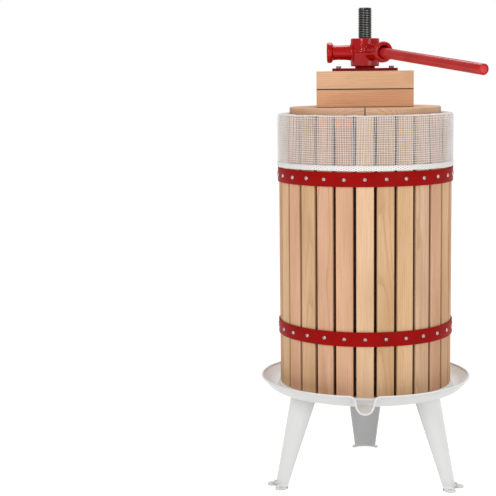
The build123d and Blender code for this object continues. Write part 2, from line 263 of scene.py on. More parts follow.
def polar(radius, angle, height):
    """The point at a radius and a heading from the spindle's axis, and at a height."""
    return radius * math.cos(angle), radius * math.sin(angle), height


def lattice(rows, ring=False, loop=False):
    """Points and faces of a skin over equal rows of points. Ring joins each row's two ends, and loop
    joins the last row to the first."""
    count = len(rows[0])
    faces = []
    for r in range(len(rows) if loop else len(rows) - 1):
        for c in range(count if ring else count - 1):
            here, above = r * count, (r + 1) % len(rows) * count
            faces.append((here + c, here + (c + 1) % count, above + (c + 1) % count, above + c))
    return [point for row in rows for point in row], faces


def piece(name, skins, material, body, sharp=40.0):
    """One mesh object from skins of points in millimetres, welded, smooth-shaded, painted and riding."""
    points, faces = [], []
    for skin_points, skin_faces in skins:
        start = len(points)
        points += [(x * MM, y * MM, z * MM) for x, y, z in skin_points]
        faces += [tuple(start + corner for corner in face) for face in skin_faces]
    mesh = bpy.data.meshes.new(name)
    mesh.from_pydata(points, [], faces)
    work = bmesh.new()
    work.from_mesh(mesh)
    bmesh.ops.remove_doubles(work, verts=work.verts, dist=0.002 * MM)
    bmesh.ops.recalc_face_normals(work, faces=work.faces)
    work.to_mesh(mesh)
    work.free()
    mesh.shade_smooth()
    mesh.set_sharp_from_angle(angle=math.radians(sharp))
    mesh.materials.append(material)
    made = bpy.data.objects.new(name, mesh)
    bpy.context.collection.objects.link(made)
    if body:
        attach(made, body)
    return made


def smooth_line(knots, per_span):
    """A Catmull-Rom curve through the knots."""
    knots = [Vector(knot) for knot in knots]
    padded = [2 * knots[0] - knots[1], *knots, 2 * knots[-1] - knots[-2]]
    line = []
    for a, b, c, d in zip(padded, padded[1:], padded[2:], padded[3:]):
        for step in range(per_span):
            t = step / per_span
            square = 2 * a - 5 * b + 4 * c - d
            cube = 3 * b - a - 3 * c + d
            line.append(0.5 * (2 * b + (c - a) * t + square * t**2 + cube * t**3))
    return [*line, knots[-1]]


platform_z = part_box("stave_01")[0].z / MM
rim_z = platform_z + 10.0
gutter_z = platform_z - 10.5
gutter_out_r = 165.5
rim_r = 186.0
lip_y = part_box("drip_tray")[0].y / MM
spindle_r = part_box("spindle")[1].x / MM
spindle_clearance = 0.3
tray_gauge = 1.5
bead_r = 2.0
bead_thinning = 0.3
bead_outset = 0.5
bead_drop = 0.8

# The rim runs round the bowl and out along both sides of the lip, dipping in an S into its U.
lip_side = (
    (-26.0, -184.2, 0.0), (-22.0, -185.6, 0.5), (-18.6, -188.6, 2.4), (-16.4, -192.6, 6.0),
    (-15.2, -197.0, 11.0), (-13.4, -201.4, 16.8), (-8.4, -205.4, 22.6), (0.0, lip_y + bead_drop, 24.8),
)
lip_knots = [(x, y, rim_z - drop) for x, y, drop in lip_side]
lip_knots += [(-x, y, z) for x, y, z in reversed(lip_knots[:-1])]
lip_line = smooth_line(lip_knots, 5)
lip_half_angle = math.atan2(-lip_side[0][0], -lip_side[0][1])
bowl_steps = 300
rim_line = list(lip_line)
for step in range(1, bowl_steps):
    angle = -math.pi / 2 + lip_half_angle + (2 * math.pi - 2 * lip_half_angle) * step / bowl_steps
    rim_line.append(Vector(polar(rim_r, angle, rim_z)))

# The wall's foot is drawn in towards the lip's narrow mouth, and eases back to even steps round the bowl.
lip_count = len(lip_line)
mouth_half_angle = math.radians(6.4)
easing_angle = math.radians(18.0)
foot_angles = []
for number, point in enumerate(rim_line):
    if number < lip_count:
        share = 2 * number / (lip_count - 1) - 1
        foot_angles.append(-math.pi / 2 + share * mouth_half_angle)
    else:
        angle = math.atan2(point.y, point.x) + math.pi / 2
        angle = (angle + math.pi) % (2 * math.pi) - math.pi
        away = (abs(angle) - lip_half_angle) / easing_angle
        pull = (lip_half_angle - mouth_half_angle) * max(0.0, 1.0 - away) ** 2
        foot_angles.append(-math.pi / 2 + angle - math.copysign(pull, angle))

platform_drops = (
    (spindle_r + spindle_clearance, 0.0), (40.0, 0.0), (90.0, 0.0), (130.0, 0.0), (150.0, 0.0),
    (154.6, 0.0), (155.6, 0.3), (156.4, 1.2), (157.0, 2.8), (158.0, 6.8),
)
gutter_rises = ((158.8, 1.6), (159.6, 0.5), (160.8, 0.0), (162.4, 0.0))
flat_profile = [(r, platform_z - drop) for r, drop in platform_drops]
flat_profile += [(r, gutter_z + rise) for r, rise in gutter_rises]
tray_rows = [[polar(r, angle, z) for angle in foot_angles] for r, z in flat_profile]
wall_steps = 14
wall_belly = 2.4
for step in range(wall_steps + 1):
    share = step / wall_steps
    row = []
    for number, (rim_point, angle) in enumerate(zip(rim_line, foot_angles)):
        foot = Vector(polar(gutter_out_r, angle, gutter_z))
        in_lip = max(0.0, 1 - abs(2 * number / (lip_count - 1) - 1) ** 3) if number < lip_count else 0.0
        belly = wall_belly * math.sin(math.pi * share**0.8) * (1 - 0.75 * in_lip)
        outward = Vector(polar(1.0, angle, -1.0)).normalized()
        row.append(tuple(foot.lerp(rim_point, share) + outward * belly))
    tray_rows.append(row)


def tube_along(line, radii, sides):
    """The skin of a round tube along a closed line of points, with a radius for each."""
    rows = []
    angles = [2 * math.pi * k / sides for k in range(sides)]
    for number, (point, radius) in enumerate(zip(line, radii)):
        along = (line[(number + 1) % len(line)] - line[number - 1]).normalized()
        side = along.cross(Vector((0, 0, 1))).normalized()
        up = side.cross(along)
        rows.append([tuple(point + radius * (math.cos(a) * side + math.sin(a) * up)) for a in angles])
    return lattice(rows, ring=True, loop=True)


bead_line = []
bead_radii = []
for number, point in enumerate(rim_line):
    lip_share = 1 - abs(2 * number / (lip_count - 1) - 1) if number < lip_count else 0.0
    bead_radii.append(bead_r - bead_thinning * min(1.0, 2.2 * lip_share))
    outward = Vector((point.x, point.y, 0)).normalized()
    bead_line.append(point + outward * bead_outset + Vector((0, 0, -bead_drop)))
# The tray's faces turned down keep this darker white as painted shade; faces turned up are painted lighter.
tray_white = (0.62, 0.625, 0.615, 1.0)
tray_shade = (0.58, 0.585, 0.575, 1.0)
tray_enamel = enamel("tray_powder_coat", tray_white, tray_shade, 3.0, thin=0.10, thick=0.45)
tray = piece("drip_tray_bowl", [lattice(tray_rows, ring=True)], tray_enamel, "stand", 60.0)
thicken = tray.modifiers.new("sheet", "SOLIDIFY")
thicken.thickness = tray_gauge * MM
thicken.offset = -1.0
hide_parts("drip_tray")
bead = tube_along(bead_line, bead_radii, 12)
piece("drip_tray_rolled_rim", [bead], tray_enamel, "stand")

# ---- legs ----------------------------------------------------------------------------------------
# Three legs bent from 2.5 mm steel sheet into tapering channels, powder-coated white. The top is closed by
# a lid that bolts to studs under the tray, and the foot is bent out flat into two eared bolt holes.

# Faces turned down, such as the rear leg's inner face, keep this dark white as painted shade; faces turned
# up are painted lighter.
leg_white = (0.45, 0.45, 0.447, 1.0)
leg_shade = (0.42, 0.42, 0.417, 1.0)
leg_enamel = enamel("leg_powder_coat", leg_white, leg_shade, 11.0, thin=-0.20, thick=0.38)
leg_top_z = platform_z - tray_gauge - 0.3
leg_gauge = 2.5
leg_top_arc = (79.0, 27.0, 116.0)  # chord across the channel, its rise, and its edges' reach
leg_foot_arc = (40.0, 10.2, 168.7)
ear_spacing = 31.4
ear_r = 9.6
ear_reach = 181.0
ear_hole_r = 4.0
ear_neck = 3.0
bend_r = 5.0
lid_insets = (1.5, 8.0, 16.0, 22.0)
lid_narrowing = 0.0012
leg_columns = 56
foot_rows, bend_rows, channel_rows = 6, 5, 14


def channel_row(share):
    """The channel's outer face at a share of the way from foot to top: arc centre, radius, half angle."""
    chord, rise, reach = (low + (high - low) * share for low, high in zip(leg_foot_arc, leg_top_arc))
    radius = (chord**2 / 4 + rise**2) / (2 * rise)
    return reach + rise - radius, radius, math.asin(chord / 2 / radius)


def ear_outline(angle, centre, radius):
    """How far from the arc's centre the flat foot reaches in a direction: two lobes and a notch between."""
    reach = radius + ear_neck
    for side in (-1, 1):
        x, y = side * ear_spacing / 2, ear_reach - centre
        off = angle - math.atan2(x, y)
        distance = math.hypot(x, y)
        across = distance * math.sin(off)
        if abs(off) < 1.2 and abs(across) < ear_r:
            reach = max(reach, distance * math.cos(off) + math.sqrt(ear_r**2 - across**2))
    return reach


def arc_row(centre, radius, half, height):
    """Points along an arc of the channel, from one edge to the other."""
    return [(radius * math.sin(s * half), centre + radius * math.cos(s * half), height) for s in spread]


leg_rows = []
foot_centre, foot_radius, foot_half = channel_row(0.0)
spread = [2 * column / leg_columns - 1 for column in range(leg_columns + 1)]
for step in range(foot_rows + 1):
    share = 1 - step / foot_rows
    row = []
    for s in spread:
        angle = s * foot_half
        ears = ear_outline(angle, foot_centre, foot_radius) - foot_radius - bend_r
        reach = foot_radius + bend_r + ears * share
        row.append((reach * math.sin(angle), foot_centre + reach * math.cos(angle), leg_gauge))
    leg_rows.append(row)
for step in range(1, bend_rows + 1):
    turn = step / bend_rows * math.pi / 2
    reach = foot_radius + bend_r * (1 - math.sin(turn))
    height = leg_gauge + bend_r * (1 - math.cos(turn))
    leg_rows.append(arc_row(foot_centre, reach, foot_half, height))
for step in range(1, channel_rows + 1):
    share = step / channel_rows
    centre, radius, half = channel_row(share)
    height = leg_gauge + bend_r + (leg_top_z - leg_gauge - bend_r) * share
    leg_rows.append(arc_row(centre, radius, half, height))
for inset in lid_insets:
    lid_edge = leg_top_arc[2] + 0.2 * (24.0 - inset)
    lid_row = arc_row(*channel_row(1.0), leg_top_z)
    leg_rows.append([(x * (1 - inset * lid_narrowing), max(lid_edge, y - inset), z) for x, y, z in lid_row])


def circle(radius, height, sides, x=0.0, y=0.0):
    """A level ring of points round an upright axis."""
    angles = [2 * math.pi * k / sides for k in range(sides)]
    return [(x + radius * math.cos(a), y + radius * math.sin(a), height) for a in angles]


def drum(x, y, low, high, radius, sides=32):
    """A closed upright cylinder."""
    corners = ((0.0, low), (radius, low), (radius, high), (0.0, high))
    return lattice([circle(r, z, sides, x, y) for r, z in corners], ring=True)


def apply_modifiers(made):
    """Works the object's modifiers into its mesh."""
    graph = bpy.context.evaluated_depsgraph_get()
    mesh = bpy.data.meshes.new_from_object(made.evaluated_get(graph))
    made.modifiers.clear()
    made.data = mesh


def cut(made, skins):
    """Cuts closed skins out of the piece."""
    tool = piece("cutter", skins, made.data.materials[0], None)
    saw = made.modifiers.new("cut", "BOOLEAN")
    saw.operation = "DIFFERENCE"
    saw.solver = "EXACT"
    saw.object = tool
    apply_modifiers(made)
    bpy.data.objects.remove(tool)


def turned_about_z(skin, degrees):
    """The skin turned about the spindle's axis."""
    c, s = math.cos(math.radians(degrees)), math.sin(math.radians(degrees))
    return [(x * c - y * s, x * s + y * c, z) for x, y, z in skin[0]], skin[1]


leg_skin = lattice(leg_rows)
for leg_name, turn in (("leg_rear", 0.0), ("leg_front_left", 120.0), ("leg_front_right", 240.0)):
    channel = turned_about_z(leg_skin, turn)
    leg = piece(leg_name + "_channel", [channel], leg_enamel, "stand", 50.0)
    thicken = leg.modifiers.new("sheet", "SOLIDIFY")
    thicken.thickness = leg_gauge * MM
    thicken.offset = -1.0
    apply_modifiers(leg)
    drills = [drum(side * ear_spacing / 2, ear_reach, -4.0, 8.0, ear_hole_r) for side in (-1, 1)]
    cut(leg, [turned_about_z(drill, turn) for drill in drills])
    round_off = leg.modifiers.new("edges", "BEVEL")
    round_off.width = 0.5 * MM
    round_off.segments = 2
    round_off.limit_method = "ANGLE"
    round_off.angle_limit = math.radians(60)
    apply_modifiers(leg)
    leg.data.shade_smooth()
    leg.data.set_sharp_from_angle(angle=math.radians(45))
    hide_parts(leg_name)

# Zinc-plated nuts hold each leg's lid on two studs welded under the tray.


def zinc(name, colour, seed):
    """Bright zinc plating: fine spangle, and scuffs that scatter the light."""
    finish = Finish(name)
    spangle = finish.noise(900.0, 3.0, seed=seed)
    scuff = finish.noise(90.0, 4.0, seed=seed + 1.0)
    dark = tuple(0.62 * channel for channel in colour[:3]) + (1.0,)
    return finish.surface(
        Base_Color=finish.mix(colour, dark, finish.ease(scuff, 0.45, 0.75)),
        Metallic=1.0,
        Roughness=0.24 + spangle * 0.16 + scuff * 0.12,
        Normal=finish.bump(spangle, 0.00005, 0.4),
    )


def hex_nut(x, y, bottom, height, flats, bore, turn=0.0, sides=48):
    """A hexagon nut with its corners turned off at both faces, round an upright axis."""
    face = flats / 2 * 0.97  # the round that the turning leaves on each face
    rows = []
    for level, at_corner in ((0, 0), (0, 1), (0, 2), (1, 2), (1, 1), (1, 0)):
        row = []
        for k in range(sides):
            angle = 2 * math.pi * k / sides
            from_flat = (math.degrees(angle) + 30) % 60 - 30
            outer = flats / 2 / math.cos(math.radians(from_flat))
            radius = (bore, face, outer)[at_corner]
            drop = (0.0, 0.0, (outer - face) * 0.55)[at_corner]
            z = bottom + drop if level == 0 else bottom + height - drop
            row.append((x + radius * math.cos(angle + turn), y + radius * math.sin(angle + turn), z))
        rows.append(row)
    return lattice(rows, ring=True, loop=True)


bright_zinc = zinc("bright_zinc", (0.66, 0.655, 0.65, 1.0), 21.0)
leg_nut_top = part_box("leg_nuts")[1].z / MM
leg_nut_height = 5.0
leg_nut_flats = 10.0
leg_nut_bore = 3.0
stud_reach = 126.0
stud_spacing = 34.0
leg_nut_skins = []
for turn in (0.0, 120.0, 240.0):
    for side in (-1, 1):
        x, bottom = side * stud_spacing / 2, leg_nut_top - leg_nut_height
        nut = hex_nut(x, stud_reach, bottom, leg_nut_height, leg_nut_flats, leg_nut_bore)
        leg_nut_skins.append(turned_about_z(nut, turn))
leg_nuts = piece("leg_stud_nuts", leg_nut_skins, bright_zinc, "stand", 25.0)
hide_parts("leg_nuts")
frame["nodes"]["leg_studs"].data.materials[0] = bright_zinc

# ---- spindle -------------------------------------------------------------------------------------
# An M24 rod of black-oxide steel with its thread cut along the whole length. A plate under the tray and a
# nut on each side of the sheet clamp it, with a rubber seal under the upper nut.

spindle_low, spindle_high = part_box("spindle")
thread_pitch = 3.0
thread_depth = 1.55
spindle_top = spindle_high.z / MM
spindle_bottom = spindle_low.z / MM
spindle_nut_flats = 36.0
steps_a_turn = 24
thread_start = spindle_bottom - thread_pitch
turns = math.ceil((spindle_top - thread_start) / thread_pitch) + 1
form = [(0.00, thread_depth), (0.20, thread_depth), (0.44, 0.0), (0.76, 0.0)]  # share of pitch, depth
chamfer = 2.0
thread_points = []
for step in range(turns * steps_a_turn):
    angle = 2 * math.pi * step / steps_a_turn
    for share, depth in form:
        z = thread_start + thread_pitch * (step / steps_a_turn + share)
        z = min(spindle_top, max(spindle_bottom, z))
        end = min(spindle_top - z, z - spindle_bottom)
        radius = min(spindle_r - depth, spindle_r - chamfer + end)
        thread_points.append(polar(radius, angle, z))
thread_faces = []
for step in range(turns * steps_a_turn - steps_a_turn - 1):
    for number in range(len(form)):
        a = step * len(form) + number
        b = a + 1 if number < len(form) - 1 else (step + steps_a_turn) * len(form)
        thread_faces.append((a, a + len(form), b + len(form), b))
end_faces = []
for z in (spindle_bottom, spindle_top):
    end_faces.append(lattice([circle(spindle_r - chamfer, z, 48), circle(0.0, z, 48)], ring=True))


def black_oxide(name):
    """Blackened steel, oiled: the thread's crests are rubbed to grey and its roots hold dull oil."""
    finish = Finish(name)
    radius = finish.off_axis(finish.place)
    scuff = finish.noise(160.0, 4.0, seed=31.0)
    crest = finish.ease(radius + scuff * 0.0006, 0.01175, 0.01225)
    blotch = finish.noise(45.0, 3.0, seed=33.0)
    steel = finish.mix((0.004, 0.004, 0.004, 1.0), (0.016, 0.0155, 0.015, 1.0), blotch)
    return finish.surface(
        Base_Color=finish.mix(steel, (0.36, 0.35, 0.33, 1.0), crest * 0.55),
        Metallic=0.85,
        Specular_IOR_Level=0.2,
        Roughness=0.34 - crest * 0.10 + scuff * 0.12,
        Normal=finish.bump(scuff, 0.0001, 0.4),
    )


oxide = black_oxide("black_oxide_steel")
spindle_skins = [(thread_points, thread_faces), *end_faces]
spindle = piece("spindle_thread", spindle_skins, oxide, "stand", 34.0)
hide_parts("spindle")
frame["nodes"]["spindle_base_plate"].data.materials[0] = oxide
for node in ("spindle_bottom_nut", "spindle_top_nut"):
    low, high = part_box(node)
    skin = hex_nut(0.0, 0.0, low.z / MM, (high.z - low.z) / MM, spindle_nut_flats, spindle_r - 0.2)
    nut = piece(node + "_hexagon", [skin], bright_zinc, "stand", 25.0)
    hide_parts(node)

rubber = Finish("seal_rubber")
bloom = rubber.noise(60.0, 4.0, seed=35.0)
frame["nodes"]["spindle_seal"].data.materials[0] = rubber.surface(
    Base_Color=rubber.mix((0.012, 0.012, 0.012, 1.0), (0.045, 0.044, 0.042, 1.0), bloom),
    Roughness=0.62 + bloom * 0.2,
    Normal=rubber.bump(rubber.noise(700.0, seed=36.0), 0.0001, 0.5),
)

# ---- staves --------------------------------------------------------------------------------------
# Twenty-seven planed oak staves, 30 x 15 mm, each sawn from another place in a log, so that some show
# straight grain and some show flames. They stand a few millimetres apart and are screwed to the hoops.


def oak(name, turn, heart, lean, spacing, tint, seed, seams=(), inside=False):
    """Oak sawn out of a log. Turn brings the board's length to Z, heart and lean place it in the log, whose
    growth rings are spacing apart. Each ring starts with a dark porous band. Seams are the (axis, place)
    pairs where another board meets this one, and the edges there are painted dark as shade. The inside of
    the basket, and the staves' sides towards it, are painted dark as shade in the gaps between the staves."""
    finish = Finish(name)
    board = finish.moved(finish.place, (0.0, 0.0, 0.0), turn)
    log = finish.moved(board, heart, lean)
    sway = finish.noise(1.0, 2.0, finish.stretch(log, 14.0, 14.0, 3.0), seed)
    ripple = finish.noise(1.0, 2.0, finish.stretch(log, 120.0, 120.0, 9.0), seed + 1.0)
    rings = (finish.off_axis(log) + sway * 0.014 + ripple * 0.0016) / spacing
    season = rings.fraction()
    year = finish.noise(1.0, 0.0, finish.node("ShaderNodeCombineXYZ", {}, {"X": rings * 0.8}), seed + 2.0)
    early = (1 - finish.ease(season, 0.06, 0.42)) * finish.ease(season, 0.0, 0.05)
    fibre = finish.noise(1.0, 3.0, finish.stretch(log, 900.0, 900.0, 14.0), seed + 3.0)
    vessels = finish.noise(1.0, 2.0, finish.stretch(log, 1700.0, 1700.0, 42.0), seed + 4.0)
    pores = finish.ease(vessels, 0.60, 0.70) * (0.25 + early * 0.75)
    cloud = finish.noise(1.0, 2.0, finish.stretch(log, 22.0, 22.0, 4.0), seed + 5.0)
    light = tuple(min(1.0, 1.08 * c) for c in tint) + (1.0,)
    dark = (tint[0] * 0.80, tint[1] * 0.72, tint[2] * 0.62, 1.0)
    band = (tint[0] * 0.72, tint[1] * 0.60, tint[2] * 0.48, 1.0)
    pit = (tint[0] * 0.40, tint[1] * 0.28, tint[2] * 0.20, 1.0)
    wood = finish.mix(light, dark, finish.ease(cloud, 0.30, 0.78))
    wood = finish.mix(wood, band, early * (0.25 + year * 0.55))
    wood = finish.mix(wood, dark, finish.ease(fibre, 0.42, 0.75) * 0.75)
    wood = finish.mix(wood, pit, pores * 0.60)
    spot = finish.parts(finish.place)
    # Painted shade: each seam's edges are darkened where another board meets this one.
    for axis, place in seams:
        off = (spot.other(axis) - place).size()
        painted_seam_shade = 1 - finish.ease(off + cloud * 0.0006, 0.0008, 0.0018)
        wood = finish.mix(wood, (0.020, 0.011, 0.006, 1.0), painted_seam_shade * 0.92)
    # Painted shade: the basket's inside and the staves' sides towards it are darkened, for the gaps between
    # staves.
    if inside:
        depth = finish.off_axis(finish.place)
        painted_gap_shade = 1 - finish.ease(depth + cloud * 0.001, 0.1450, 0.1530)
        wood = finish.mix(wood, (0.030, 0.013, 0.006, 1.0), painted_gap_shade * 0.9)
    height = fibre * 0.5 - pores * 1.0 - early * 0.25
    return finish.surface(
        Base_Color=wood,
        Roughness=0.56 + fibre * 0.14 + pores * 0.1,
        Normal=finish.bump(height, 0.00022, 0.55),
    )


stave_count = 27
stave_turn = 2 * math.pi / stave_count
stave_middle = 0.146
oak_tints = {
    "golden": (0.66, 0.425, 0.235),
    "pale": (0.72, 0.485, 0.300),
    "pink": (0.67, 0.395, 0.245),
    "brown": (0.60, 0.355, 0.195),
    "grey": (0.61, 0.405, 0.260),
}
stave_tints = (
    "pale golden golden grey pink golden brown grey golden "
    "pale pink brown golden grey pale golden pink brown "
    "golden grey pink brown golden pink golden pink pink"
).split()
draw = random.Random(27)
for number, tint_name in enumerate(stave_tints):
    node = f"stave_{number + 1:02d}"
    side = draw.choice((-1, 1))
    if draw.random() < 0.4:
        heart = (side * draw.uniform(0.0, 0.012), stave_middle + draw.uniform(0.030, 0.060), 0.0)
        lean = (draw.uniform(-0.030, 0.030), draw.uniform(-0.006, 0.006), 0.0)
    else:
        heart = (side * draw.uniform(0.05, 0.12), stave_middle + draw.uniform(-0.04, 0.05), 0.0)
        lean = (draw.uniform(-0.012, 0.012), draw.uniform(-0.012, 0.012), 0.0)
    gap = draw.uniform(0.0021, 0.0036)
    lift = draw.uniform(0.94, 1.05)
    tint = tuple(lift * c for c in oak_tints[tint_name])
    turn = (0.0, 0.0, -number * stave_turn)
    frame["nodes"][node].data.materials[0] = oak(
        node + "_oak", turn, heart, lean, gap, tint, 40.0 + 7.0 * number, inside=True
    )

# ---- hoops ---------------------------------------------------------------------------------------
# Two rings rolled from 25 x 2 mm steel strip, welded at the rear and powder-coated red. One domed zinc
# screw with a cross recess goes through each hoop into every stave.


def red_coat(name, colour, deep, dull, lump, glare, shine, seed):
    """Red paint: slow drifts of depth, a fine peel and, where lump is set, the rough skin of a casting."""
    finish = Finish(name)
    drift = finish.noise(24.0, 3.0, seed=seed)
    peel = finish.noise(620.0, 2.0, seed=seed + 1.0)
    skin = finish.noise(150.0, 3.0, seed=seed + 2.0)
    height = peel * 0.25 + skin * lump
    return finish.surface(
        Base_Color=finish.mix(colour, deep, finish.ease(drift, 0.35, 0.75)),
        Roughness=dull + peel * 0.06 + drift * 0.06,
        Specular_IOR_Level=glare,
        Coat_Weight=shine,
        Coat_Roughness=0.05,
        Normal=finish.bump(height, 0.00025, 0.5),
    )


hoop_red = red_coat(
    "hoop_red_coat", (0.31, 0.0035, 0.0026, 1.0), (0.25, 0.0030, 0.0022, 1.0),
    dull=0.42, lump=0.0, glare=0.04, shine=0.02, seed=61.0,
)
hoop_steps = 432
hoop_gauge = 2.0
hoop_edge = 0.55
head_r = 3.3
head_h = 2.1
head_sides = 24
head_rings = (0.0, 0.12, 0.25, 0.38, 0.52, 0.68, 0.82, 0.93, 1.0)
recess_half_width = 0.42
recess_reach = 1.75
recess_depth = 0.9


def strip_profile(inner, outer, low, high, corner):
    """A strip's cross-section with its four long edges rounded."""
    points = []
    for centre_r, centre_z, start in (
        (outer - corner, low + corner, -90), (outer - corner, high - corner, 0),
        (inner + corner, high - corner, 90), (inner + corner, low + corner, 180),
    ):
        for part in range(4):
            angle = math.radians(start + 30 * part)
            points.append((centre_r + corner * math.cos(angle), centre_z + corner * math.sin(angle)))
    return points


def screw_head(reach, height, turn, spin):
    """A domed head with a cross recess, on the hoop's outer face at a turn from the front."""
    rows = []
    for share in head_rings:
        row = []
        for k in range(head_sides):
            angle = 2 * math.pi * k / head_sides
            u, v, out = polar(head_r * share, angle + spin, head_h * (1 - share**2.6) ** 0.55)
            if min(abs(u), abs(v)) < recess_half_width and max(abs(u), abs(v)) < recess_reach:
                out -= recess_depth
            x, z = head_r * share * math.cos(angle), head_r * share * math.sin(angle)
            row.append((x, -(reach + out), height + z))
        rows.append(row)
    return turned_about_z(lattice(rows, ring=True), math.degrees(turn))


# The screw zinc is tinted pink: a painted reflection of the red hoop round the heads.
screw_zinc = zinc("screw_zinc", (0.62, 0.55, 0.54, 1.0), 71.0)
for node in ("hoop_upper", "hoop_lower"):
    low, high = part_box(node)
    outer = high.x / MM
    profile = strip_profile(outer - hoop_gauge, outer, low.z / MM, high.z / MM, hoop_edge)
    rows = []
    for step in range(hoop_steps):
        angle = 2 * math.pi * step / hoop_steps
        swell = 0.12 * math.sin(3 * angle + 1.0) + 0.08 * math.sin(7 * angle)
        wave = 0.15 * math.sin(2 * angle + 0.5) + 0.1 * math.sin(5 * angle + 2.0)
        rows.append([polar(radius + swell, angle, z + wave) for radius, z in profile])
    strip = lattice(rows, ring=True, loop=True)
    hoop = piece(node + "_strip", [strip], hoop_red, "basket", 50.0)
    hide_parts(node)
    mid = (low.z + high.z) / 2 / MM
    heads = []
    for number in range(stave_count):
        spin = draw.uniform(0.0, math.pi / 2)
        sideways = draw.uniform(-0.004, 0.004)
        height = mid + draw.uniform(-0.5, 0.5)
        heads.append(screw_head(outer - 0.05, height, number * stave_turn + sideways, spin))
    screws = piece(node + "_screw_heads", heads, screw_zinc, "basket", 30.0)
    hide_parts(node + "_screws")

# ---- press cloth ---------------------------------------------------------------------------------
# A bag of white woven nylon net that lines the basket. Its mouth is folded out over the stave tops and
# hangs down to the upper hoop, where it ends in a doubled and stitched hem.

stave_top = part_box("stave_01")[1].z / MM
skirt_r = -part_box("press_cloth")[0].x / MM - 0.2
hem_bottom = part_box("hoop_upper")[1].z / MM + 1.0
lining_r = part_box("press_plate_right")[1].x / MM + 2.9
thread_count = 232
row_pitch = 3.7
thread_half_width = 0.46
thread_half_thick = 0.60
weave = random.Random(5)


def slow_waves(count, low, high, size):
    """A smooth random function of angle, made of a few sines."""
    parts = []
    for _ in range(count):
        parts.append((weave.randint(low, high), weave.uniform(0, 2 * math.pi), weave.uniform(0.4, 1.0)))
    total = sum(part[2] for part in parts)
    return lambda angle: size * sum(w * math.sin(n * angle + p) for n, p, w in parts) / total


fold_side = (
    (lining_r, stave_top - 16.0), (lining_r, stave_top - 6.0), (lining_r + 0.2, stave_top - 0.6),
    (lining_r + 1.9, stave_top + 0.9), (skirt_r - 9.0, stave_top + 1.0), (skirt_r - 2.2, stave_top + 0.9),
    (skirt_r - 0.3, stave_top - 1.2), (skirt_r, stave_top - 8.0), (skirt_r, stave_top - 45.0),
    (skirt_r, hem_bottom + 6.0),
)
fine_line = smooth_line([(radius, 0.0, height) for radius, height in fold_side], 24)
run = [0.0]
for before, after in zip(fine_line, fine_line[1:]):
    run.append(run[-1] + (after - before).length)
row_count = round(run[-1] / row_pitch)


def on_fold(distance):
    """Radius and height of the fold's line at a distance along it."""
    number = next((n for n in range(1, len(run)) if run[n] >= distance), len(run) - 1)
    share = (distance - run[number - 1]) / (run[number] - run[number - 1])
    point = fine_line[number - 1].lerp(fine_line[number], min(1.0, share))
    return point.x, point.z


fold = [on_fold(run[-1] * row / row_count) for row in range(row_count + 1)]
fold_normals = []
for row in range(row_count + 1):
    before, after = fold[max(0, row - 1)], fold[min(row_count, row + 1)]
    along = Vector((after[0] - before[0], after[1] - before[1])).normalized()
    fold_normals.append((-along.y, along.x))
skirt_swell = slow_waves(7, 5, 40, 0.55)
top_swell = slow_waves(8, 6, 50, 2.2)
slant = slow_waves(6, 4, 26, 2.4)
row_waves = [slow_waves(5, 3, 30, 0.6) for _ in range(row_count + 1)]
thread_waves = []  # each upright thread's shift, phase and sway
for _ in range(thread_count):
    thread_waves.append((weave.uniform(-0.3, 0.3), weave.uniform(0, 6.28), weave.uniform(0.2, 0.7)))


def net_point(thread, row, lift):
    """Where thread and row cross, lifted off the cloth's middle by lift, with the cloth's slackness."""
    angle = 2 * math.pi * thread / thread_count
    radius, height = fold[row]
    out_r, out_z = fold_normals[row]
    outside = max(0.0, min(1.0, (radius - lining_r) / (skirt_r - lining_r)))
    hanging = outside * max(0.0, min(1.0, (stave_top + 2.0 - height) / 80.0))
    on_top = max(0.0, 1 - abs(height - stave_top - 0.6) / 4.0)
    gap = abs((angle / stave_turn + 0.25) % 1.0 - 0.5)  # the front stave is centred on -90 degrees
    sag = 0.9 * max(0.0, 1 - gap / 0.09) * on_top
    bulge = skirt_swell(angle) * outside * (1 - 0.4 * hanging) + 0.25 * row_waves[row](angle + 1.0)
    shift, phase, sway = thread_waves[thread]
    drift = (shift + sway * math.sin(0.22 * row + phase) + slant(angle) * hanging) / radius
    angle += drift
    radius += out_r * lift + max(-0.25, bulge)
    height += out_z * lift - sag + abs(top_swell(angle)) * on_top + row_waves[row](angle) * outside
    return Vector(polar(radius, angle, height))


def thread_rows(line, outs):
    """A flattened four-sided thread along a line, its broad side facing out."""
    rows = []
    for number, (point, out) in enumerate(zip(line, outs)):
        along = (line[min(number + 1, len(line) - 1)] - line[max(number - 1, 0)]).normalized()
        side = along.cross(out).normalized()
        over = side.cross(along)
        wide, thick = side * thread_half_width, over * thread_half_thick
        rows.append([tuple(point + offset) for offset in (wide, thick, -wide, -thick)])
    return rows


crossing = 0.30  # how far a thread rises or dips where it passes another
net_skins = []
for thread in range(thread_count):
    angle = 2 * math.pi * thread / thread_count
    line = [net_point(thread, row, crossing * (-1) ** (thread + row)) for row in range(row_count + 1)]
    outs = [Vector(polar(out_r, angle, out_z)) for out_r, out_z in fold_normals]
    points, faces = lattice(thread_rows(line, outs), ring=True)
    faces += [(3, 2, 1, 0), tuple(len(points) - 4 + k for k in range(4))]
    net_skins.append((points, faces))
for row in range(row_count + 1):
    line = [net_point(thread, row, -crossing * (-1) ** (thread + row)) for thread in range(thread_count)]
    out_r, out_z = fold_normals[row]
    angles = [2 * math.pi * thread / thread_count for thread in range(thread_count)]
    outs = [Vector(polar(out_r, angle, out_z)) for angle in angles]
    wrapped = [line[-1], *line, line[0]]
    rows = thread_rows(wrapped, [outs[-1], *outs, outs[0]])[1:-1]
    net_skins.append(lattice(rows, ring=True, loop=True))


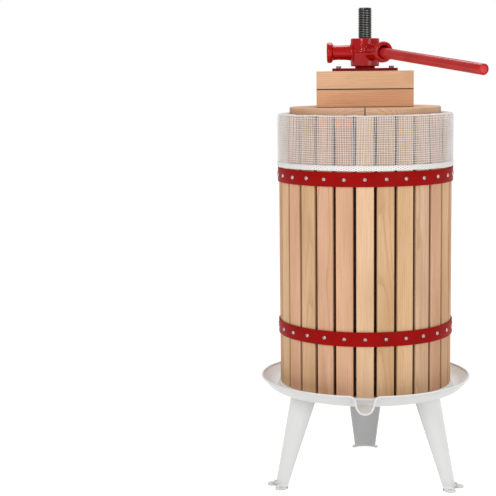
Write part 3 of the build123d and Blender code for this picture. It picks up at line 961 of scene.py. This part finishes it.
def nylon(name, colour, shade, place_scale, seed):
    """White nylon yarn: fine fibres along it and a soft sheen."""
    finish = Finish(name)
    fibre = finish.noise(place_scale, 3.0, seed=seed)
    soil = finish.noise(18.0, 3.0, seed=seed + 1.0)
    return finish.surface(
        Base_Color=finish.mix(colour, shade, finish.ease(soil, 0.4, 0.8)),
        Roughness=0.50 + fibre * 0.15,
        Sheen_Weight=0.25,
        Normal=finish.bump(fibre, 0.0001, 0.5),
    )


net_white = nylon("net_nylon", (0.82, 0.81, 0.81, 1.0), (0.74, 0.725, 0.72, 1.0), 1800.0, 81.0)
skirt = piece("press_cloth_skirt", net_skins, net_white, "basket", 70.0)
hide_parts("press_cloth")

hem_rows = []
hem_lower = slow_waves(8, 3, 34, 1.1)
hem_swell = slow_waves(6, 5, 40, 0.5)
hem_top = hem_bottom + 10.0
hem_inside = 0.75
hem_outside = 0.95
for thread in range(2 * thread_count):
    angle = math.pi * thread / thread_count
    scallop = math.sin(thread_count / 2 * angle)
    low_edge = hem_bottom + 0.9 + hem_lower(angle) + 0.5 * scallop
    high_edge = hem_top + 0.5 * hem_lower(angle + 2.0)
    reach = skirt_r + hem_swell(angle)
    profile = strip_profile(reach - hem_inside, reach + hem_outside, low_edge, high_edge, 0.7)
    row = []
    for radius, height in profile:
        rise = (height - low_edge) / (hem_top - low_edge)
        puff = (0.45 + 0.25 * scallop) * math.sin(math.pi * rise) if radius > reach else 0.0
        row.append(polar(radius + puff, angle, height))
    hem_rows.append(row)
hem_finish = Finish("hem_nylon")
spot = hem_finish.parts(hem_finish.place)
warp = (hem_finish.heading(spot) * (thread_count / 2)).sine()
weft = (spot.other("Z") * 1700.0).sine()
soil = hem_finish.noise(30.0, 3.0, seed=84.0)
# Painted shade: the gaps in the hem's weave are painted dark brown.
weave_gaps = hem_finish.ease(warp * weft, 0.0, 0.8) * 0.85
hem_white = hem_finish.surface(
    Base_Color=hem_finish.mix((0.82, 0.81, 0.80, 1.0), (0.26, 0.20, 0.18, 1.0), weave_gaps),
    Roughness=0.62 + soil * 0.1,
    Sheen_Weight=0.2,
    Normal=hem_finish.bump(warp * weft * 0.5 + soil, 0.00025, 0.6),
)
hem_skin = lattice(hem_rows, ring=True, loop=True)
hem = piece("press_cloth_hem", [hem_skin], hem_white, "basket", 60.0)
stitch_r = 0.22
stitch_skins = []
for height in (hem_top - 1.8, hem_bottom + 2.4):
    line = []
    for thread in range(4 * thread_count):
        angle = math.pi * thread / (2 * thread_count)
        dip = 0.28 if thread % 4 in (1, 2) else -0.45
        reach = skirt_r + hem_outside + hem_swell(angle) + dip
        line.append(Vector(polar(reach, angle, height + 0.4 * hem_lower(angle + 2.0))))
    stitch_skins.append(tube_along(line, [stitch_r] * len(line), 5))
stitches = piece("press_cloth_stitches", stitch_skins, net_white, "basket", 70.0)

# Inside the basket the bag is one skin, with its mesh cut out by the finish.
lining_rows = []
lining_swell = slow_waves(9, 6, 60, 0.9)
lining_columns = 324
lining_top = stave_top - 12.0
bag_floor = platform_z + 1.0
floor_hole_r = 29.0
lining_levels = [lining_top - 11.3 * step for step in range(40)]
lining_profile = [(lining_r, z) for z in lining_levels if z > bag_floor + 8.0]
lining_profile += [(lining_r, bag_floor + 4.0), (lining_r - 1.5, bag_floor + 1.0)]
lining_profile += [(r, bag_floor) for r in (lining_r - 5.0, 110.0, 90.0, 70.0, 50.0, floor_hole_r)]
for r, z in lining_profile:
    row = []
    for column in range(lining_columns):
        angle = 2 * math.pi * column / lining_columns
        pucker, pleat = 0.0, 0.0
        if r == lining_r:
            pucker = lining_swell(angle + 0.4 * math.sin(z / 90.0)) * min(1.0, (z - bag_floor) / 30.0)
        if z == bag_floor:
            pleat = 0.6 * abs(math.sin(stave_count * angle))
        row.append(polar(r - 0.4 + min(0.35, pucker), angle, z + pleat))
    lining_rows.append(row)
lining_finish = Finish("lining_net")
spot = lining_finish.parts(lining_finish.place)
run_down = spot.other("Z") - lining_finish.off_axis(lining_finish.place)
waver = lining_finish.noise(40.0, 2.0, seed=86.0)
warp_place = (lining_finish.heading(spot) * (thread_count / (2 * math.pi)) + waver * 0.25).fraction()
weft_place = (run_down / (row_pitch * MM) + waver * 0.25).fraction()
warp_yarn = 1 - lining_finish.ease((warp_place - 0.5).size(), 0.10, 0.14)
weft_yarn = 1 - lining_finish.ease((weft_place - 0.5).size(), 0.10, 0.14)
# The white net is painted dark brown here: painted shade inside the basket, seen through the gaps between
# the staves.
lining_net = lining_finish.surface(
    Base_Color=lining_finish.mix((0.26, 0.20, 0.15, 1.0), (0.16, 0.11, 0.08, 1.0), waver),
    Roughness=0.55 + waver * 0.15,
    Alpha=warp_yarn.most(weft_yarn),
    Normal=lining_finish.bump(warp_yarn + weft_yarn, 0.0003, 0.6),
)
lining_skin = lattice(lining_rows, ring=True)
lining = piece("press_cloth_lining", [lining_skin], lining_net, "basket", 70.0)

# ---- press boards and blocks ---------------------------------------------------------------------
# The press board is a thick oak disc in two halves. Two oak blocks lie across it, one each side of the
# spindle, and a wide top block spreads the nut's load over them. All are planed and left bare.

along_x = (0.0, -math.pi / 2, 0.0)
board_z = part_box("press_plate_left")[1].z
block_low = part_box("block_top")[0].z
halves, lower, upper = [("X", 0.0)], [("Z", board_z), ("Z", block_low)], [("Z", block_low)]
boards = (  # node, heart above and beside the board, lean, ring spacing, tint, seams
    ("press_plate_left", (0.060, 0.020), (0.010, 0.008, 0.0), 0.0034, (0.66, 0.41, 0.26), halves),
    ("press_plate_right", (0.045, -0.030), (0.006, -0.012, 0.0), 0.0031, (0.69, 0.44, 0.28), halves),
    ("block_front", (0.075, 0.100), (0.012, 0.004, 0.0), 0.0026, (0.69, 0.365, 0.195), lower),
    ("block_rear", (0.050, -0.090), (-0.010, 0.006, 0.0), 0.0028, (0.65, 0.38, 0.215), lower),
    ("block_top", (0.110, 0.095), (-0.014, 0.010, 0.0), 0.0027, (0.68, 0.41, 0.235), upper),
)
for number, (node, (above, beside), lean, gap, tint, seams) in enumerate(boards):
    heart = (board_z + above, beside, 0.0)
    wood = oak(node + "_oak", along_x, heart, lean, gap, tint, 300.0 + 9.0 * number, seams)
    frame["nodes"][node].data.materials[0] = wood

# ---- bar and bolts -------------------------------------------------------------------------------
# A 5 mm steel bar, painted red, lies on the top block under the nut. Two small bolts hold it, with their
# nuts in pockets below, and a plain washer takes the nut's thrust.

bar_red = red_coat(
    "bar_red_coat", (0.28, 0.005, 0.006, 1.0), (0.20, 0.004, 0.005, 1.0),
    dull=0.34, lump=0.2, glare=0.08, shine=0.10, seed=64.0,
)
frame["nodes"]["head_plate"].data.materials[0] = bar_red
bolt_zinc = zinc("bolt_zinc", (0.40, 0.34, 0.37, 1.0), 74.0)
bolt_low, bolt_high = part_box("head_plate_bolts")
bolt_flats = 8.0
bolt_head_h = 4.0
bolt_r = 2.5
bolt_x = bolt_high.x / MM - bolt_flats / 2 / math.cos(math.radians(30))
head_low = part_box("head_plate")[1].z / MM
bolt_skins = []
for side in (-1, 1):
    bolt_skins.append(hex_nut(side * bolt_x, 0.0, head_low, bolt_head_h, bolt_flats, 0.0, turn=0.4 * side))
    bolt_skins.append(drum(side * bolt_x, 0.0, bolt_low.z / MM, head_low + 1.0, bolt_r))
bolts = piece("head_plate_bolt_pair", bolt_skins, bolt_zinc, "press_head", 25.0)
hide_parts("head_plate_bolts")
frame["nodes"]["head_plate_nuts"].data.materials[0] = bolt_zinc
frame["nodes"]["thrust_washer"].data.materials[0] = bar_red
frame["nodes"]["retaining_ring"].data.materials[0] = oxide

# ---- cast nut ------------------------------------------------------------------------------------
# An iron casting in thick gloss red paint: a round hub threaded for the spindle, and three sockets with
# flanged mouths for the handle. The mould's parting line runs round it at the sockets' height.

nut_low, nut_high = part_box("nut_head")
handle_socket = next(mount for mount in frame["record"]["mounts"] if mount["name"] == "handle_socket_left")
socket_z = handle_socket["pos_m"][2] / MM
socket_mouth = -handle_socket["pos_m"][0] / MM
hub_top = nut_high.z / MM
neck_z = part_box("thrust_washer")[1].z / MM
hub_z = neck_z + 1.4
socket_bore_r = 11.1
socket_bore_depth = 38.0


def lathe(profile, origin, axis, sides):
    """A skin turned about an axis through origin, from (radius, distance along the axis) points."""
    axis = Vector(axis).normalized()
    side = axis.orthogonal().normalized()
    third = axis.cross(side)
    rows = []
    for radius, distance in profile:
        row = []
        for k in range(sides):
            angle = 2 * math.pi * k / sides
            out = math.cos(angle) * side + math.sin(angle) * third
            row.append(tuple(Vector(origin) + distance * axis + radius * out))
        rows.append(row)
    return lattice(rows, ring=True)


part_z = socket_z + 1.4  # the mould's parting line
nut_bottom = nut_low.z / MM
hub_profile = [
    (0.0, nut_bottom), (15.0, nut_bottom), (15.0, neck_z), (17.5, neck_z), (17.5, hub_z + 0.5),
    (24.6, hub_z), (25.1, hub_z + 0.6), (25.65, part_z - 1.8), (27.0, part_z - 1.2),
    (27.0, part_z + 1.2), (25.65, part_z + 1.8), (25.0, hub_top - 0.7), (24.2, hub_top), (0.0, hub_top),
]
casting_skins = [lathe(hub_profile, (0, 0, 0), (0, 0, 1), 96)]
socket_profile = [
    (0.0, 8.0), (14.2, 8.0), (13.8, 26.0), (12.9, 34.0), (12.7, 50.0), (13.2, 55.6), (15.6, 57.4),
    (17.2, 58.2), (18.1, 60.0), (18.2, 63.0), (17.9, 65.6), (16.8, 66.9), (15.4, socket_mouth),
    (0.0, socket_mouth),
]
ridge_profile = [(0.0, 10.0), (14.3, 10.0), (13.6, 34.0), (13.5, 54.0), (0.0, 54.0)]
ridge_flatness = 0.075
socket_floor = socket_mouth - socket_bore_depth
bore_profile = [
    (0.0, socket_floor), (socket_bore_r, socket_floor), (socket_bore_r, socket_mouth - 1.2),
    (socket_bore_r + 1.6, socket_mouth + 0.4), (0.0, socket_mouth + 0.4),
]
nut_bore_r = 12.05
nut_bore = [(0.0, -20.0), (nut_bore_r, -20.0), (nut_bore_r, 80.0), (0.0, 80.0)]
bores = [lathe(nut_bore, (0, 0, hub_z), (0, 0, 1), 64)]
for heading in (180.0, -60.0, 60.0):
    axis = (math.cos(math.radians(heading)), math.sin(math.radians(heading)), 0.0)
    casting_skins.append(lathe(socket_profile, (0, 0, socket_z), axis, 72))
    flat_ridge = lathe(ridge_profile, (0, 0, socket_z), axis, 48)
    thin = [(x, y, part_z + (z - socket_z) * ridge_flatness) for x, y, z in flat_ridge[0]]
    casting_skins.append((thin, flat_ridge[1]))
    bores.append(lathe(bore_profile, (0, 0, socket_z), axis, 64))
casting_red = red_coat(
    "casting_gloss_red", (0.42, 0.002, 0.003, 1.0), (0.32, 0.0015, 0.0025, 1.0),
    dull=0.16, lump=0.8, glare=0.06, shine=0.50, seed=67.0,
)
casting = piece("nut_head_casting", casting_skins, casting_red, "screw_nut", 180.0)
weld = casting.modifiers.new("one_casting", "REMESH")
weld.mode = "VOXEL"
weld.voxel_size = 0.85 * MM
weld.use_smooth_shade = True
soften = casting.modifiers.new("sand_mould", "SMOOTH")
soften.factor = 0.5
soften.iterations = 5
apply_modifiers(casting)
cut(casting, bores)
casting.data.shade_smooth()
casting.data.set_sharp_from_angle(angle=math.radians(40))
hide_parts("nut_head")

# ---- handle --------------------------------------------------------------------------------------
# A steel tube, powder-coated red, that lies loosely in one socket and droops a little. A red plastic plug
# closes its outer end.

handle_low, handle_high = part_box("handle_tube")
pull = next(j for j in frame["record"]["behaviour"]["joints"] if j["name"] == "handle_pull")
handle_axis = Vector(pull["axis"]).normalized()
handle_r = 9.0
handle_wall = 2.0
handle_sides = 72
start, end = [], []
for k in range(3):
    margin = handle_r * MM * math.sqrt(1 - handle_axis[k] ** 2)
    ends = (handle_low[k] + margin, handle_high[k] - margin)
    start.append(ends[0] if handle_axis[k] > 0 else ends[1])
    end.append(ends[1] if handle_axis[k] > 0 else ends[0])
handle_start = Vector(start) / MM
handle_length = (Vector(end) - Vector(start)).length / MM
bore = handle_r - handle_wall
tube_profile = [(bore, 0.5), (bore + 0.5, 0.0), (handle_r - 0.6, 0.0), (handle_r, 0.6)]
tube_profile += [(handle_r, handle_length * step / 12) for step in range(1, 12)]
tube_end = (
    (handle_r, 0.7), (handle_r - 0.25, 0.2), (handle_r - 0.8, 0.0),
    (bore + 0.4, 0.0), (bore, 0.4), (bore, 20.0),
)
tube_profile += [(radius, handle_length - back) for radius, back in tube_end]
tube_points, tube_faces = lathe(tube_profile, handle_start, handle_axis, handle_sides)
last = len(tube_points) - handle_sides
for k in range(handle_sides):
    after = (k + 1) % handle_sides
    tube_faces.append((last + after, last + k, k, after))
handle_red = red_coat(
    "handle_red_coat", (0.46, 0.020, 0.019, 1.0), (0.38, 0.014, 0.014, 1.0),
    dull=0.34, lump=0.0, glare=0.10, shine=0.25, seed=90.0,
)
tube = piece("handle_tube_coated", [(tube_points, tube_faces)], handle_red, "handle", 50.0)
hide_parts("handle_tube")
plug_side = (
    (0.0, 14.0), (bore - 0.3, 14.0), (bore - 0.05, 12.0), (bore - 0.05, 1.3), (bore - 0.5, 0.7),
    (bore - 2.0, 0.35), (3.0, 0.15), (0.0, 0.1),
)
plug_profile = [(radius, handle_length - back) for radius, back in plug_side]
cap_finish = Finish("cap_red_plastic")
cap_mark = cap_finish.noise(400.0, 3.0, seed=95.0)
cap_red = cap_finish.surface(
    Base_Color=cap_finish.mix((0.62, 0.012, 0.016, 1.0), (0.52, 0.010, 0.013, 1.0), cap_mark),
    Roughness=0.30 + cap_mark * 0.12,
    Normal=cap_finish.bump(cap_mark, 0.0001, 0.4),
)
plug = lathe(plug_profile, handle_start, handle_axis, handle_sides)
cap = piece("handle_end_plug", [plug], cap_red, "handle", 40.0)
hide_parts("handle_end_cap")

# ---- floor ---------------------------------------------------------------------------------------
# A plain white studio floor, smooth and slightly mottled, that runs far back so that no edge of it shows.

floor_finish = Finish("studio_floor")
mottle = floor_finish.noise(3.0, 4.0, seed=99.0)
floor_white = floor_finish.surface(
    Base_Color=floor_finish.mix((0.37, 0.37, 0.368, 1.0), (0.34, 0.34, 0.338, 1.0), mottle),
    Roughness=0.75 + mottle * 0.1,
    Emission_Color=(1.0, 1.0, 1.0, 1.0),
    Emission_Strength=0.86,
    Specular_IOR_Level=0.0,
)
floor_z = -0.3
floor_radii = (60000.0, 2000.0, 0.0)
floor_rings = [circle(radius, floor_z, 64) for radius in floor_radii]
floor = piece("studio_floor", [lattice(floor_rings, ring=True)], floor_white, None)
